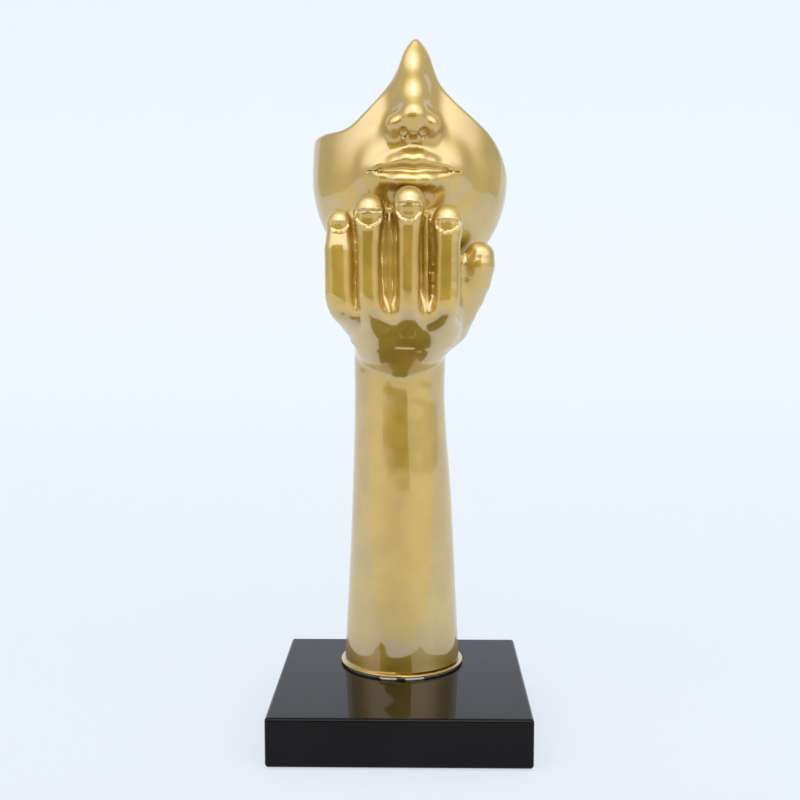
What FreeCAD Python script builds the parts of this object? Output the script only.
import FreeCAD, Part
import math
import os
import Sketcher

# Hand sculpture: a gold forearm and hand cupping the chin of an open face shell, on a black plinth.
# Millimetres. X is the viewer's right, Y points away from the viewer and Z is up.
# The origin is the middle of the square that the plinth covers, on the surface that it stands on.

# Driving sizes, each written to a cell of its own
PLINTH_SIZES = {
    "plinth_side": 150.0,
    "plinth_height": 28.5,
    "plinth_edge_radius": 2.0,
    "pad_radius": 8.0,
    "pad_thickness": 1.0,
    "pad_inset": 15.0,
}
FASTENER_SIZES = {
    "bolt_radius": 4.0,
    "bolt_length": 35.0,
    "bolt_head_across": 13.0,
    "bolt_head_height": 5.3,
    "bolt_hole_clearance": 0.5,
    "bolt_end_chamfer": 0.8,
    "washer_radius": 12.0,
    "washer_thickness": 1.6,
    "washer_bore_clearance": 0.2,
    "counterbore_radius": 14.0,
    "counterbore_depth": 10.0,
    "nut_height": 6.5,
}
ARM_SIZES = {
    "arm_y": 29.0,
    "plate_radius": 38.6,
    "plate_thickness": 1.5,
    "plate_edge_radius": 0.6,
    "glue_thickness": 1.0,
    "glue_inset": 1.6,
    "glue_width": 7.0,
    "glue_blob_length": 4.0,
    "glue_blob_width": 1.5,
    "foot_radius": 36.2,
    "mid_radius": 31.2,
    "mid_height": 101.0,
    "wrist_radius": 28.2,
    "wrist_height": 182.0,
    "wrist_shift": 1.5,
    "arm_wall": 6.0,
    "seam_tilt": 18.0,
    "sleeve_length": 26.0,
    "sleeve_wall": 3.5,
    "sleeve_clearance": 0.15,
    "sleeve_end_gap": 1.0,
}
HAND_SIZES = {
    "knuckle_reach": 70.0,
    "palm_half_width": 39.0,
    "palm_rise": 97.0,
    "palm_cavity_width": 16.0,
    "palm_cavity_depth": 26.0,
    "palm_cavity_height": 14.0,
    "palm_cavity_shift": 3.0,
    "finger_axis_reach": 66.8,
    "thumb_tip_radius": 8.5,
    "thumb_root_radius": 13.0,
    "thumb_spread": 46.3,
    "thumb_rise": 45.5,
}
MASK_SIZES = {
    "mask_x": 5.0,
    "mask_y": 22.0,
    "mask_yaw": 2.5,
    "mask_half_width": 59.0,
    "mask_half_depth": 46.0,
    "mask_rise": 118.0,
    "mask_drop": 64.0,
    "mask_crown": 110.0,
    "mask_wall": 5.0,
    "mask_peak": 76.7,
    "mask_rim_behind": 10.0,
    "mask_rim_corner": 14.0,
    "mask_seat_clearance": 0.3,
    "nose_length": 46.0,
    "nose_reach": 18.0,
    "nose_half_width": 15.0,
    "nose_bridge_half_width": 8.0,
    "mouth_half_width": 23.0,
    "lip_height": 11.0,
    "lip_reach": 2.8,
    "chin_half_width": 17.0,
}
# Each finger: sideways place of the root and of the tip, height of the top of the tip above the
# foot of the palm, how far it lies behind the middle finger, and radius of the body and of the tip
FINGER_SIZES = {
    "little": (-20.0, -34.3, 97.3, 5.5, 7.9, 7.2),
    "ring": (-9.0, -17.5, 106.0, 0.8, 6.9, 8.8),
    "middle": (4.5, 4.9, 110.2, 0.0, 6.6, 9.0),
    "index": (18.0, 26.6, 99.9, 3.5, 7.3, 8.4),
}
# Length by which a cutting shape runs past what it cuts
OVERRUN = 5.0

doc = FreeCAD.newDocument("hand_sculpture")
sheet = doc.addObject("Spreadsheet::Sheet", "dims")
rows = {**PLINTH_SIZES, **FASTENER_SIZES, **ARM_SIZES, **HAND_SIZES, **MASK_SIZES, "overrun": OVERRUN}
FINGER_WORDS = ("root_x", "tip_x", "top", "behind", "body_radius", "tip_radius")
for finger, finger_sizes in FINGER_SIZES.items():
    rows.update({f"{finger}_{word}": value for word, value in zip(FINGER_WORDS, finger_sizes)})
for number, (alias, value) in enumerate(rows.items(), start=1):
    sheet.set(f"A{number}", alias)
    sheet.set(f"B{number}", str(value))
    sheet.setAlias(f"B{number}", alias)
doc.recompute()


def size(alias):
    """The value of a cell, in millimetres or degrees."""
    return float(sheet.get(alias))


def bind(thing, **expressions):
    """Ties properties to cells; a double underscore in a name stands for a dot."""
    for path, expression in expressions.items():
        thing.setExpression(path.replace("__", "."), expression)


def place(thing, x="0", y="0", z="0"):
    """Ties the place of an object to cells."""
    bind(thing, Placement__Base__x=x, Placement__Base__y=y, Placement__Base__z=z)


def new_body(label):
    """An empty body with a label."""
    body = doc.addObject("PartDesign::Body", label)
    body.Label = label
    return body


def origin_sketch(body, name, role="XY_Plane", height="0", across="0"):
    """A sketch on one of a body's own origin planes, lifted and shifted by expressions."""
    sketch = body.newObject("Sketcher::SketchObject", name)
    plane = next(f for f in body.Origin.OriginFeatures if f.Role == role)
    sketch.AttachmentSupport = (plane, [""])
    sketch.MapMode = "FlatFace"
    bind(sketch, AttachmentOffset__Base__z=height, AttachmentOffset__Base__x=across)
    return sketch


def add_circle(sketch, radius):
    """A circle about the sketch's origin, with its radius tied to an expression."""
    index = sketch.addGeometry(Part.Circle(FreeCAD.Vector(), FreeCAD.Vector(0, 0, 1), 1))
    sketch.addConstraint(Sketcher.Constraint("Coincident", index, 3, -1, 1))
    tie = sketch.addConstraint(Sketcher.Constraint("Radius", index, 1))
    sketch.setExpression(f"Constraints[{tie}]", radius)


def add_square(sketch, side):
    """A square centred on the sketch's origin, with its side tied to an expression."""
    half = 1
    corners = [(-half, -half), (half, -half), (half, half), (-half, half)]
    for start, end in zip(corners, corners[1:] + corners[:1]):
        sketch.addGeometry(Part.LineSegment(FreeCAD.Vector(*start, 0), FreeCAD.Vector(*end, 0)))
    for line in range(4):
        sketch.addConstraint(Sketcher.Constraint("Coincident", line, 2, (line + 1) % 4, 1))
        direction = "Horizontal" if line % 2 == 0 else "Vertical"
        sketch.addConstraint(Sketcher.Constraint(direction, line))
    sketch.addConstraint(Sketcher.Constraint("Symmetric", 0, 1, 1, 2, -1, 1))
    tie = sketch.addConstraint(Sketcher.Constraint("DistanceX", 0, 1, 0, 2, 2 * half))
    sketch.setExpression(f"Constraints[{tie}]", side)
    tie = sketch.addConstraint(Sketcher.Constraint("DistanceY", 1, 1, 1, 2, 2 * half))
    sketch.setExpression(f"Constraints[{tie}]", side)


def add_hexagon(sketch, across):
    """A hexagon about the sketch's origin, with its size across flats tied to an expression."""
    turns = [math.radians(60 * k) for k in range(6)]
    corners = [FreeCAD.Vector(math.cos(turn), math.sin(turn), 0) for turn in turns]
    for start, end in zip(corners, corners[1:] + corners[:1]):
        sketch.addGeometry(Part.LineSegment(start, end))
    guide = sketch.addGeometry(Part.Circle(FreeCAD.Vector(), FreeCAD.Vector(0, 0, 1), 1), True)
    sketch.addConstraint(Sketcher.Constraint("Coincident", guide, 3, -1, 1))
    for line in range(6):
        sketch.addConstraint(Sketcher.Constraint("Coincident", line, 2, (line + 1) % 6, 1))
        sketch.addConstraint(Sketcher.Constraint("PointOnObject", line, 1, guide))
    for line in range(5):
        sketch.addConstraint(Sketcher.Constraint("Equal", line, line + 1))
    sketch.addConstraint(Sketcher.Constraint("PointOnObject", 0, 1, -1))
    tie = sketch.addConstraint(Sketcher.Constraint("Radius", guide, 1))
    sketch.setExpression(f"Constraints[{tie}]", f"({across}) / 2 / cos(30)")


def pad(body, name, sketch, length):
    """Extrudes a sketch of a body upwards."""
    feature = body.newObject("PartDesign::Pad", name)
    feature.Profile = sketch
    bind(feature, Length=length)
    return feature


def pocket_up(body, name, sketch, length):
    """Cuts upwards from a sketch of a body."""
    feature = body.newObject("PartDesign::Pocket", name)
    feature.Profile = sketch
    feature.Reversed = True
    bind(feature, Length=length)
    return feature


def ellipsoid(name, x, y, z, across, deep, tall):
    """An ellipsoid with its centre and half sizes tied to expressions."""
    thing = doc.addObject("Part::Ellipsoid", name)
    thing.Angle1, thing.Angle2, thing.Angle3 = -90, 90, 360
    bind(thing, Radius1=tall, Radius2=across, Radius3=deep)
    place(thing, x, y, z)
    return thing


def fuse(name, pieces):
    """The union of several objects."""
    thing = doc.addObject("Part::MultiFuse", name)
    thing.Shapes = pieces
    thing.Refine = False
    return thing


def boolean(kind, name, base, tool):
    """A cut, a common or a fuse of two objects."""
    thing = doc.addObject(f"Part::{kind}", name)
    thing.Base = base
    thing.Tool = tool
    thing.Refine = False
    return thing


def shape_object(name, shape):
    """An object that holds a shape made from the sheet's values."""
    thing = doc.addObject("Part::Feature", name)
    thing.Shape = shape
    return thing


def oval(x, y, z, across, deep, count=12):
    """A level closed wire: a smooth curve through points of an ellipse with its half sizes."""
    angles = [2 * math.pi * (k + 0.5) / count for k in range(count)]
    points = [FreeCAD.Vector(x + across * math.cos(a), y + deep * math.sin(a), z) for a in angles]
    curve = Part.BSplineCurve()
    curve.interpolate(Points=points, PeriodicFlag=True)
    return Part.Wire([curve.toShape()])


def hoop(centre, axis, radius):
    """A closed wire: a circle about an axis."""
    return Part.Wire([Part.Circle(centre, axis, radius).toShape()])


# Heights, each worked out from what lies under it: the seat of the bolt, the foot of the forearm, the
# middle of the tilted seam at the wrist, and the widest level of the face shell
PLINTH_TOP = "dims.pad_thickness + dims.plinth_height"
PLATE_BASE = f"{PLINTH_TOP} + dims.glue_thickness"
FOOT = f"{PLATE_BASE} + dims.plate_thickness"
SEAT = "dims.pad_thickness + dims.counterbore_depth"
SEAM_MIDDLE = f"({FOOT} + dims.wrist_height + dims.wrist_radius * tan(dims.seam_tilt))"
BRIM = f"({FOOT} + dims.wrist_height + dims.mask_rise)"
foot_z = sum(size(a) for a in ("pad_thickness", "plinth_height", "glue_thickness", "plate_thickness"))
wrist_z = foot_z + size("wrist_height")
brim_z = wrist_z + size("mask_rise")
arm_y = size("arm_y")


def make_plinth():
    """The lacquered block, with a stepped hole for the bolt."""
    body = new_body("plinth")
    outline = origin_sketch(body, "plinth_outline")
    add_square(outline, "dims.plinth_side")
    block = pad(body, "plinth_block", outline, "dims.plinth_height")
    doc.recompute()
    edges = body.newObject("PartDesign::Fillet", "plinth_edges")
    edges.Base = (block, [f"Edge{k + 1}" for k in range(len(block.Shape.Edges))])
    bind(edges, Radius="dims.plinth_edge_radius")
    doc.recompute()
    for name, radius, depth in (
        ("counterbore", "dims.counterbore_radius", "dims.counterbore_depth"),
        ("bolt_hole", "dims.bolt_radius + dims.bolt_hole_clearance", "dims.plinth_height + dims.overrun"),
    ):
        circle = origin_sketch(body, f"{name}_circle")
        add_circle(circle, radius)
        bind(circle, AttachmentOffset__Base__y="dims.arm_y")
        pocket_up(body, name, circle, depth)
    place(body, z="dims.pad_thickness")
    return body


def make_pads():
    """Four felt pads under the plinth, one near each corner."""
    pads = []
    for depth_word, y_sign in (("front", "-"), ("back", "")):
        for side_word, x_sign in (("left", "-"), ("right", "")):
            felt = doc.addObject("Part::Cylinder", f"felt_pad_{depth_word}_{side_word}")
            felt.Label = felt.Name
            bind(felt, Radius="dims.pad_radius", Height="dims.pad_thickness")
            offset = "(dims.plinth_side / 2 - dims.pad_inset)"
            place(felt, f"{x_sign}{offset}", f"{y_sign}{offset}", "0")
            pads.append(felt)
    return pads


def make_washer(label, base):
    """A plain round washer on the bolt."""
    body = new_body(label)
    ring = origin_sketch(body, f"{label}_ring")
    add_circle(ring, "dims.washer_radius")
    add_circle(ring, "dims.bolt_radius + dims.washer_bore_clearance")
    pad(body, f"{label}_disc", ring, "dims.washer_thickness")
    place(body, "0", "dims.arm_y", base)
    return body


def make_bolt():
    """The hexagon head bolt that ties the sculpture to the plinth, with its head in the counterbore."""
    body = new_body("tie_bolt")
    head = origin_sketch(body, "bolt_head_outline")
    add_hexagon(head, "dims.bolt_head_across")
    pad(body, "bolt_head", head, "dims.bolt_head_height")
    shank = origin_sketch(body, "bolt_shank_circle", height="dims.bolt_head_height")
    add_circle(shank, "dims.bolt_radius")
    rod = pad(body, "bolt_shank", shank, "dims.bolt_length")
    doc.recompute()
    top = max(range(len(rod.Shape.Edges)), key=lambda k: rod.Shape.Edges[k].CenterOfMass.z)
    end = body.newObject("PartDesign::Chamfer", "bolt_end")
    end.Base = (rod, [f"Edge{top + 1}"])
    bind(end, Size="dims.bolt_end_chamfer")
    place(body, "0", "dims.arm_y", f"{SEAT} - dims.washer_thickness - dims.bolt_head_height")
    return body


def make_nut():
    """The nut that clamps the foot plate, inside the hollow forearm."""
    body = new_body("tie_nut")
    outline = origin_sketch(body, "nut_outline")
    add_hexagon(outline, "dims.bolt_head_across")
    add_circle(outline, "dims.bolt_radius")
    pad(body, "nut_block", outline, "dims.nut_height")
    place(body, "0", "dims.arm_y", f"{FOOT} + dims.washer_thickness")
    return body


def make_foot_plate():
    """The thin round plate that closes the foot of the forearm and stands proud as a lip."""
    body = new_body("foot_plate")
    ring = origin_sketch(body, "plate_ring")
    add_circle(ring, "dims.plate_radius")
    add_circle(ring, "dims.bolt_radius + dims.bolt_hole_clearance")
    disc = pad(body, "plate_disc", ring, "dims.plate_thickness")
    doc.recompute()
    rims = [
        f"Edge{k + 1}"
        for k, edge in enumerate(disc.Shape.Edges)
        if isinstance(edge.Curve, Part.Circle) and edge.Closed and edge.Curve.Radius > size("foot_radius")
    ]
    lip = body.newObject("PartDesign::Fillet", "plate_lip")
    lip.Base = (disc, rims)
    bind(lip, Radius="dims.plate_edge_radius")
    place(body, "0", "dims.arm_y", PLATE_BASE)
    return body


# Where the glue has squeezed out: degrees round the foot from the viewer's right
GLUE_BLOB_DEGREES = (-104.0, -96.0, -80.0, -71.0, 35.0, 128.0)


def make_glue():
    """The clear bead of adhesive under the foot plate, with the blobs that squeezed out of it."""
    body = new_body("glue_ring")
    ring = origin_sketch(body, "glue_circles")
    add_circle(ring, "dims.plate_radius - dims.glue_inset")
    add_circle(ring, "dims.plate_radius - dims.glue_inset - dims.glue_width")
    pad(body, "glue_layer", ring, "dims.glue_thickness")
    place(body, "0", "dims.arm_y", PLINTH_TOP)
    blobs = []
    for number, degrees in enumerate(GLUE_BLOB_DEGREES, start=1):
        reach = "(dims.plate_radius - dims.glue_inset)"
        blob = ellipsoid(
            f"glue_blob_{number}",
            f"{reach} * cos({degrees})",
            f"dims.arm_y + {reach} * sin({degrees})",
            f"{PLINTH_TOP} + dims.glue_thickness / 2",
            "dims.glue_blob_length",
            "dims.glue_blob_width",
            "dims.glue_thickness / 2",
        )
        bind(blob, Placement__Rotation__Angle=f"{degrees} + 90")
        blob.Placement.Rotation.Axis = FreeCAD.Vector(0, 0, 1)
        blobs.append(blob)
    glue = fuse("glue_bead", [body] + blobs)
    glue.Label = "glue_bead"
    return glue


def make_seam_box():
    """A large box whose underside is the seam between forearm and hand: low in front, high behind."""
    box = doc.addObject("Part::Box", "above_seam")
    reach = "(2 * dims.knuckle_reach)"
    front_y = "(dims.arm_y - dims.wrist_radius)"
    bind(box, Length=f"2 * {reach}", Width=f"2 * {reach}", Height=f"2 * {reach}")
    place(
        box,
        f"-{reach}",
        f"{front_y} - {reach} * cos(dims.seam_tilt)",
        f"{FOOT} + dims.wrist_height - {reach} * sin(dims.seam_tilt)",
    )
    box.Placement.Rotation.Axis = FreeCAD.Vector(1, 0, 0)
    bind(box, Placement__Rotation__Angle="dims.seam_tilt")
    return box


def make_forearm(seam):
    """The hollow tapering forearm, cut off at the tilted seam."""
    body = new_body("forearm_tube")
    end = "dims.wrist_height + 2 * dims.wrist_radius * tan(dims.seam_tilt) + dims.overrun"
    levels = (
        ("foot", "0", "0", "dims.foot_radius"),
        ("middle", "dims.mid_height", "0", "dims.mid_radius"),
        ("wrist", "dims.wrist_height", "-dims.wrist_shift", "dims.wrist_radius"),
        ("end", end, "-dims.wrist_shift", "dims.wrist_radius"),
    )
    for kind, shrink in (("AdditiveLoft", ""), ("SubtractiveLoft", " - dims.arm_wall")):
        rings = []
        for word, height, across, radius in levels:
            ring = origin_sketch(body, f"{kind}_{word}", height=height, across=across)
            add_circle(ring, radius + shrink)
            rings.append(ring)
        loft = body.newObject(f"PartDesign::{kind}", f"forearm_{kind}")
        loft.Profile = rings[0]
        loft.Sections = rings[1:]
        doc.recompute()
    place(body, "0", "dims.arm_y", FOOT)
    forearm = boolean("Cut", "forearm", body, seam)
    forearm.Label = "forearm"
    return forearm


def make_sleeve():
    """The short tube glued inside the wrist, half in the forearm and half in the hand."""
    body = new_body("wrist_sleeve")
    ring = origin_sketch(body, "sleeve_ring")
    bore = "dims.wrist_radius - dims.arm_wall - dims.sleeve_clearance"
    add_circle(ring, bore)
    add_circle(ring, f"{bore} - dims.sleeve_wall")
    pad(body, "sleeve_tube", ring, "dims.sleeve_length")
    place(body, "-dims.wrist_shift", "dims.arm_y", f"{SEAM_MIDDLE} - dims.sleeve_length / 2")
    return body


# The heel of the hand from the wrist up, as shares: height of the palm's rise, reach to the left and
# to the right of the palm's half width, and reach forwards and backwards of the knuckle reach
HEEL_SHARES = (
    (0.070, 0.760, 0.686, 0.525, -0.403),
    (0.140, 0.745, 0.725, 0.670, -0.403),
    (0.206, 0.750, 0.860, 0.793, -0.400),
    (0.258, 0.790, 0.950, 0.850, -0.390),
    (0.314, 0.850, 0.950, 0.870, -0.355),
    (0.371, 0.900, 0.930, 0.860, -0.294),
    (0.433, 0.930, 0.880, 0.840, -0.226),
    (0.505, 0.940, 0.840, 0.800, -0.141),
    (0.629, 0.900, 0.770, 0.720, 0.028),
    (0.700, 0.850, 0.700, 0.660, 0.150),
)
# The front of the palm with the web between the fingers, from the knuckles up, in the same shares
WEB_SHARES = (
    (0.300, 0.800, 0.930, 0.914, 0.271),
    (0.371, 0.960, 0.960, 0.985, 0.243),
    (0.433, 1.030, 0.950, 0.971, 0.257),
    (0.505, 1.070, 0.940, 0.936, 0.286),
    (0.629, 1.080, 0.930, 0.921, 0.343),
    (0.763, 1.060, 0.880, 0.914, 0.486),
    (0.887, 0.980, 0.800, 0.907, 0.586),
    (0.959, 0.870, 0.680, 0.900, 0.636),
)


def palm_loft(name, shares, first):
    """A solid through ovals at the shares of the palm, after any wires that come first."""
    half, reach = size("palm_half_width"), size("knuckle_reach")
    sections = list(first)
    for rise, left, right, front, back in shares:
        sections.append(
            oval(
                (right - left) * half / 2,
                arm_y - (front + back) * reach / 2,
                wrist_z + rise * size("palm_rise"),
                (right + left) * half / 2,
                (front - back) * reach / 2,
            )
        )
    return shape_object(name, Part.makeLoft(sections, True, False))


def make_palm(seam):
    """The solid outer form of the palm and back of the hand, up to the web between the fingertips."""
    wrist, shift = size("wrist_radius"), size("wrist_shift")
    wrist_rings = [oval(-shift, arm_y, z, wrist, wrist) for z in (wrist_z - OVERRUN, wrist_z)]
    heel = boolean("Common", "heel_above_seam", palm_loft("heel", HEEL_SHARES, wrist_rings), seam)
    return boolean("Fuse", "palm", heel, palm_loft("web", WEB_SHARES, []))


# A finger from inside the palm up, as shares: height between root and tip, sideways between root and
# tip, swell of the body radius, and how far the axis leans back, in body radii
FINGER_SHARES = (
    (-0.10, 0.00, 1.20, 3.20),
    (0.00, 0.28, 1.18, 1.10),
    (0.10, 0.68, 1.08, 0.25),
    (0.22, 0.92, 1.00, 0.00),
    (0.36, 1.00, 0.97, 0.00),
    (0.52, 1.00, 1.07, -0.04),
    (0.68, 1.00, 0.96, 0.00),
    (0.84, 1.00, 0.97, 0.10),
)
FINGER_ROOT_SHARE = 0.30
# The neck just under the middle of the round tip, as shares: height, radius of the tip's, and lean
NECK_SHARES = (0.965, 0.95, 0.22)


def make_finger(finger):
    """One finger: a swelling stem that grows out of the palm, and a round tip."""
    root_x, tip_x, top, behind, body_radius, tip_radius = (size(f"{finger}_{word}") for word in FINGER_WORDS)
    root_z = wrist_z + FINGER_ROOT_SHARE * size("palm_rise")
    tip_z = wrist_z + top - tip_radius
    axis_y = arm_y - size("finger_axis_reach") + behind
    neck_rise, neck_share, tip_lean = NECK_SHARES
    upright = FreeCAD.Vector(0, 0, 1)
    rings = []
    for rise, across, swell, lean in FINGER_SHARES:
        centre = FreeCAD.Vector(
            root_x + across * (tip_x - root_x),
            axis_y + lean * body_radius,
            root_z + rise * (tip_z - root_z),
        )
        rings.append(hoop(centre, upright, swell * body_radius))
    tip_y = axis_y + tip_lean * body_radius
    neck = FreeCAD.Vector(tip_x, tip_y, root_z + neck_rise * (tip_z - root_z))
    rings.append(hoop(neck, upright, neck_share * tip_radius))
    stem = Part.makeLoft(rings, True, False)
    tip = Part.makeSphere(tip_radius, FreeCAD.Vector(tip_x, tip_y, tip_z))
    return shape_object(f"{finger}_finger", stem.fuse(tip))


# The thumb from inside the palm to its neck, as shares: sideways spread, distance in front of the
# forearm's axis of the knuckle reach, rise, and radius between tip and root
THUMB_SHARES = (
    (0.50, 0.24, 0.04, 0.50),
    (0.60, 0.29, 0.18, 0.85),
    (0.72, 0.35, 0.34, 0.76),
    (0.83, 0.41, 0.51, 0.56),
    (0.92, 0.47, 0.69, 0.34),
    (0.98, 0.52, 0.87, 0.12),
    (1.00, 0.53, 0.97, -0.05),
)
THUMB_ROOT_SHARE = 0.27


def make_thumb():
    """The thumb, which grows out of the palm and rises along the side of the jaw."""
    root_z = wrist_z + THUMB_ROOT_SHARE * size("palm_rise")
    spread, reach, rise = size("thumb_spread"), size("knuckle_reach"), size("thumb_rise")
    centres = [
        FreeCAD.Vector(across * spread, arm_y - front * reach, root_z + up * rise)
        for across, front, up, _ in THUMB_SHARES
    ]
    tip, root = size("thumb_tip_radius"), size("thumb_root_radius")
    rings = []
    for k, centre in enumerate(centres):
        before, after = centres[max(k - 1, 0)], centres[min(k + 1, len(centres) - 1)]
        radius = tip + THUMB_SHARES[k][3] * (root - tip)
        rings.append(hoop(centre, after - before, radius))
    stem = Part.makeLoft(rings, True, False)
    ball = Part.makeSphere(tip, FreeCAD.Vector(spread, centres[-1].y, root_z + rise))
    return shape_object("thumb", stem.fuse(ball))


def make_egg(name, grow):
    """The smooth form of the lower head about the face shell's own axis, larger by an expression."""
    halves = []
    for word, tall, low, high in (("lower", "dims.mask_drop", -90, 0), ("upper", "dims.mask_crown", 0, 90)):
        half = ellipsoid(
            f"{name}_{word}",
            "0",
            "0",
            BRIM,
            f"dims.mask_half_width + {grow}",
            f"dims.mask_half_depth + {grow}",
            f"{tall} + {grow}",
        )
        half.Angle1, half.Angle2 = low, high
        halves.append(half)
    return halves


# Places of the features in nose lengths: the root of the nose above the widest level of the shell,
# and the line between the lips and the middle of the chin below that root
NOSE_ROOT_SHARE = 1.48
LIP_LINE_SHARE = 1.42
CHIN_SHARE = 2.10
ROOT = f"({BRIM} + dims.nose_length * {NOSE_ROOT_SHARE})"
LIP_LINE = f"({ROOT} - dims.nose_length * {LIP_LINE_SHARE})"
# Each lip: place of its middle above the line between them and half height, in lip heights, and half
# width in half widths of the mouth
LIP_SHARES = {"upper": (0.42, 0.52, 1.00), "lower": (-0.48, 0.58, 0.84)}
# The chin in its half widths: how far its middle lies inside the shell's front, and its half height
CHIN_SINK_SHARE = 0.72
CHIN_HEIGHT_SHARE = 0.66


def make_lips():
    """The upper and the lower lip, each a swelling of the shell."""
    deep = "(2 * dims.lip_reach)"
    lip_y = f"-dims.mask_half_depth + {deep} - dims.lip_reach"
    lips = []
    for word, (rise, tall, wide) in LIP_SHARES.items():
        lips.append(
            ellipsoid(
                f"{word}_lip",
                "0",
                lip_y,
                f"{LIP_LINE} + dims.lip_height * ({rise})",
                f"dims.mouth_half_width * {wide}",
                deep,
                f"dims.lip_height * {tall}",
            )
        )
    return lips


def make_chin(name, grow):
    """The chin, a swelling of the shell, larger by an expression."""
    tall = f"dims.chin_half_width * {CHIN_HEIGHT_SHARE} + {grow}"
    return ellipsoid(
        name,
        "0",
        f"-dims.mask_half_depth + dims.chin_half_width * {CHIN_SINK_SHARE}",
        f"{ROOT} - dims.nose_length * {CHIN_SHARE}",
        f"dims.chin_half_width + {grow}",
        tall,
        tall,
    )


# The nose from above its root down, as shares: drop of the nose length, reach in front of the shell,
# and half width between the bridge and the nostrils
NOSE_SHARES = (
    (-0.35, 0.02, 0.30),
    (-0.10, 0.16, 0.08),
    (0.15, 0.32, 0.00),
    (0.45, 0.60, 0.10),
    (0.70, 0.86, 0.30),
    (0.86, 0.94, 0.52),
    (0.96, 0.80, 0.62),
    (1.02, 0.45, 0.50),
)
# The nostrils' wings and the tip of the nose, as shares: sideways of the half width, reach in front
# of the shell, drop of the nose length, and half sizes of the nose's half width
NOSE_BALL_SHARES = (
    (0.00, 0.66, 0.86, 0.42, 0.44, 0.40),
    (-0.58, 0.30, 0.88, 0.40, 0.52, 0.40),
    (0.58, 0.30, 0.88, 0.40, 0.52, 0.40),
)


def shell_front(z):
    """Distance of the face shell's front from its axis at a height."""
    tall = size("mask_crown") if z > brim_z else size("mask_drop")
    return size("mask_half_depth") * math.sqrt(1 - ((z - brim_z) / tall) ** 2)


def make_nose():
    """The ridge of the nose, with its tip and the wings of the nostrils, each a ball of its own."""
    length, reach, wing = size("nose_length"), size("nose_reach"), size("nose_half_width")
    root = brim_z + NOSE_ROOT_SHARE * length
    bridge = size("nose_bridge_half_width")
    sections = []
    for drop, out, spread in NOSE_SHARES:
        z = root - drop * length
        front = shell_front(z) + out * reach
        back = shell_front(z) - reach
        half_width = bridge + spread * (wing - bridge)
        sections.append(oval(0, -(front + back) / 2, z, half_width, (front - back) / 2))
    pieces = [shape_object("nose_ridge", Part.makeLoft(sections, True, False))]
    for number, (across, out, drop, wide, deep, tall) in enumerate(NOSE_BALL_SHARES, start=1):
        z = root - drop * length
        centre = FreeCAD.Vector(across * wing, -(shell_front(z) + out * reach), z)
        ball = Part.makeSphere(wing)
        stretch = FreeCAD.Matrix()
        stretch.scale(wide, deep, tall)
        ball = ball.transformGeometry(stretch)
        ball.translate(centre)
        pieces.append(shape_object(f"nose_ball_{number}", ball))
    return pieces


# The cut edge of the face shell seen from the front, as shares: sideways of the half width,
# and height of the peak's rise above the widest level
TRIM_SHARES = (
    (-1.30, 0.300),
    (-1.05, 0.290),
    (-0.93, 0.320),
    (-0.84, 0.332),
    (-0.73, 0.336),
    (-0.62, 0.365),
    (-0.47, 0.465),
    (-0.30, 0.600),
    (-0.20, 0.700),
    (-0.135, 0.800),
    (-0.080, 0.910),
    (0.035, 1.000),
    (0.155, 0.910),
    (0.205, 0.800),
    (0.255, 0.695),
    (0.36, 0.590),
    (0.50, 0.495),
    (0.65, 0.405),
    (0.78, 0.320),
    (0.89, 0.215),
    (0.98, 0.080),
    (1.10, -0.150),
    (1.30, -0.500),
)


def make_trim():
    """What is cut off the top of the face shell: all that lies above its wavy cut edge."""
    half, peak = size("mask_half_width"), size("mask_peak")
    points = [FreeCAD.Vector(x * half, 0, brim_z + z * peak) for x, z in TRIM_SHARES]
    curve = Part.BSplineCurve()
    curve.interpolate(Points=points)
    top = brim_z + size("mask_crown") + OVERRUN
    above = [FreeCAD.Vector(point.x, 0, top) for point in (points[-1], points[0])]
    corners = [points[-1], *above, points[0]]
    edges = [curve.toShape()] + [Part.makeLine(a, b) for a, b in zip(corners, corners[1:])]
    face = Part.Face(Part.Wire(edges))
    reach = size("mask_half_depth") + size("nose_reach") + OVERRUN
    face.translate(FreeCAD.Vector(0, -reach, 0))
    return shape_object("trim", face.extrude(FreeCAD.Vector(0, 2 * reach, 0)))


# Height above the widest level at which the shell's rim bends forwards, of the peak's rise
RIM_BEND_SHARE = 0.16


def make_back_cut():
    """What is cut off behind the rim of the face shell, with its upper corner rounded."""
    rim_y, corner = size("mask_rim_behind"), size("mask_rim_corner")
    low = brim_z - size("mask_drop") - OVERRUN
    high = brim_z + size("mask_crown") + OVERRUN
    bend_z = brim_z + RIM_BEND_SHARE * size("mask_peak")
    far = size("mask_half_depth") + OVERRUN
    slant = math.radians(45)
    up = FreeCAD.Vector(0, rim_y, bend_z)
    over = FreeCAD.Vector(0, rim_y - corner, bend_z + corner)
    middle = FreeCAD.Vector(0, rim_y - corner * (1 - math.cos(slant)), bend_z + corner * math.sin(slant))
    outline = [(rim_y - corner, high), (far, high), (far, low), (rim_y, low)]
    edges = [Part.Arc(up, middle, over).toShape()]
    corners = [over] + [FreeCAD.Vector(0, y, z) for y, z in outline] + [up]
    edges += [Part.makeLine(a, b) for a, b in zip(corners, corners[1:])]
    face = Part.Face(Part.Wire(edges))
    reach = size("mask_half_width") + OVERRUN
    face.translate(FreeCAD.Vector(-reach, 0, 0))
    return shape_object("back_cut", face.extrude(FreeCAD.Vector(2 * reach, 0, 0)))


def stand_mask(thing):
    """Puts a thing made about the face shell's own axis where the shell stands."""
    thing.Placement.Rotation.Axis = FreeCAD.Vector(0, 0, 1)
    bind(thing, Placement__Rotation__Angle="dims.mask_yaw")
    place(thing, "dims.mask_x", "dims.mask_y", "0")
    return thing


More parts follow.
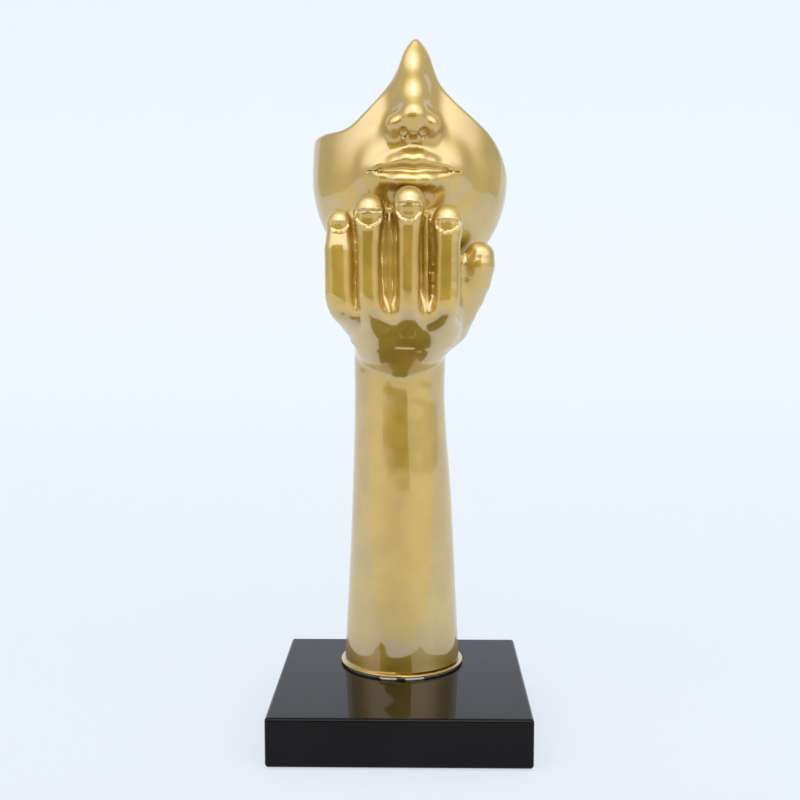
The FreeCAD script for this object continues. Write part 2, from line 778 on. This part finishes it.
def make_mask():
    """The open shell of the lower face: a smooth egg with nose, lips and chin, hollowed and trimmed."""
    swellings = make_lips() + [make_chin("chin", "0")] + make_nose()
    outer = fuse("mask_outer", make_egg("outer_egg", "0") + swellings)
    inner = fuse("mask_inner", make_egg("inner_egg", "(-dims.mask_wall)"))
    hollow = boolean("Cut", "mask_hollow", outer, inner)
    lowered = boolean("Cut", "mask_trimmed", hollow, make_trim())
    mask = boolean("Cut", "face_mask", lowered, make_back_cut())
    mask.Label = "face_mask"
    return stand_mask(mask)


def make_mask_room():
    """The space that the face shell takes in the hand, with its seat clearance."""
    clearance = "dims.mask_seat_clearance"
    pieces = make_egg("room_egg", clearance) + [make_chin("chin_room", clearance)]
    return stand_mask(fuse("mask_room", pieces))


# How far in front of the forearm's axis the middle of the palm's hollow lies, in wrist radii
CAVITY_FORWARD_SHARE = 0.6


def make_hand(seam):
    """The hand: palm, fingers and thumb in one casting, hollow at the wrist and cupped round the chin."""
    cupped = boolean("Cut", "palm_cupped", make_palm(seam), make_mask_room())
    bore = doc.addObject("Part::Cylinder", "wrist_bore")
    bind(bore, Radius="dims.wrist_radius - dims.arm_wall", Height="dims.sleeve_length + dims.sleeve_end_gap")
    place(bore, "-dims.wrist_shift", "dims.arm_y", f"{SEAM_MIDDLE} - dims.sleeve_length / 2")
    cavity = ellipsoid(
        "palm_cavity",
        "-dims.palm_cavity_shift",
        f"dims.arm_y - dims.wrist_radius * {CAVITY_FORWARD_SHARE}",
        f"{SEAM_MIDDLE} + dims.palm_cavity_height",
        "dims.palm_cavity_width",
        "dims.palm_cavity_depth",
        "dims.palm_cavity_height",
    )
    casting = boolean("Cut", "palm_hollow", boolean("Cut", "palm_bored", cupped, bore), cavity)
    digits = [make_thumb()] + [make_finger(finger) for finger in FINGER_SIZES]
    for digit in digits:
        name = "hand" if digit is digits[-1] else f"palm_and_{digit.Name}"
        casting = boolean("Fuse", name, casting, digit)
    casting.Label = "hand"
    return casting


def check(thing):
    """Stops the build where an object is broken."""
    doc.recompute()
    for other in doc.Objects:
        if "Invalid" in other.State or "Error" in other.State:
            raise RuntimeError(f"{other.Name} failed: {other.State}")
    if thing.Shape.isNull() or not thing.Shape.isValid():
        raise RuntimeError(f"{thing.Label} has no valid shape")


def main():
    """Builds every sub-part and writes each one to its own file."""
    nodes = [make_plinth(), *make_pads(), make_bolt()]
    nodes.append(make_washer("bolt_washer", f"{SEAT} - dims.washer_thickness"))
    nodes.append(make_washer("plate_washer", FOOT))
    nodes += [make_nut(), make_glue(), make_foot_plate()]
    seam = make_seam_box()
    nodes += [make_forearm(seam), make_sleeve(), make_hand(seam), make_mask()]
    os.makedirs("parts", exist_ok=True)
    for node in nodes:
        check(node)
        box = node.Shape.BoundBox
        print(
            f"{node.Label}: {len(node.Shape.Solids)} solids, {node.Shape.Volume:.0f} mm3, "
            f"x {box.XMin:.1f} {box.XMax:.1f} y {box.YMin:.1f} {box.YMax:.1f} z {box.ZMin:.1f} {box.ZMax:.1f}"
        )
        node.Shape.exportStep(f"parts/{node.Label}.step")


main()
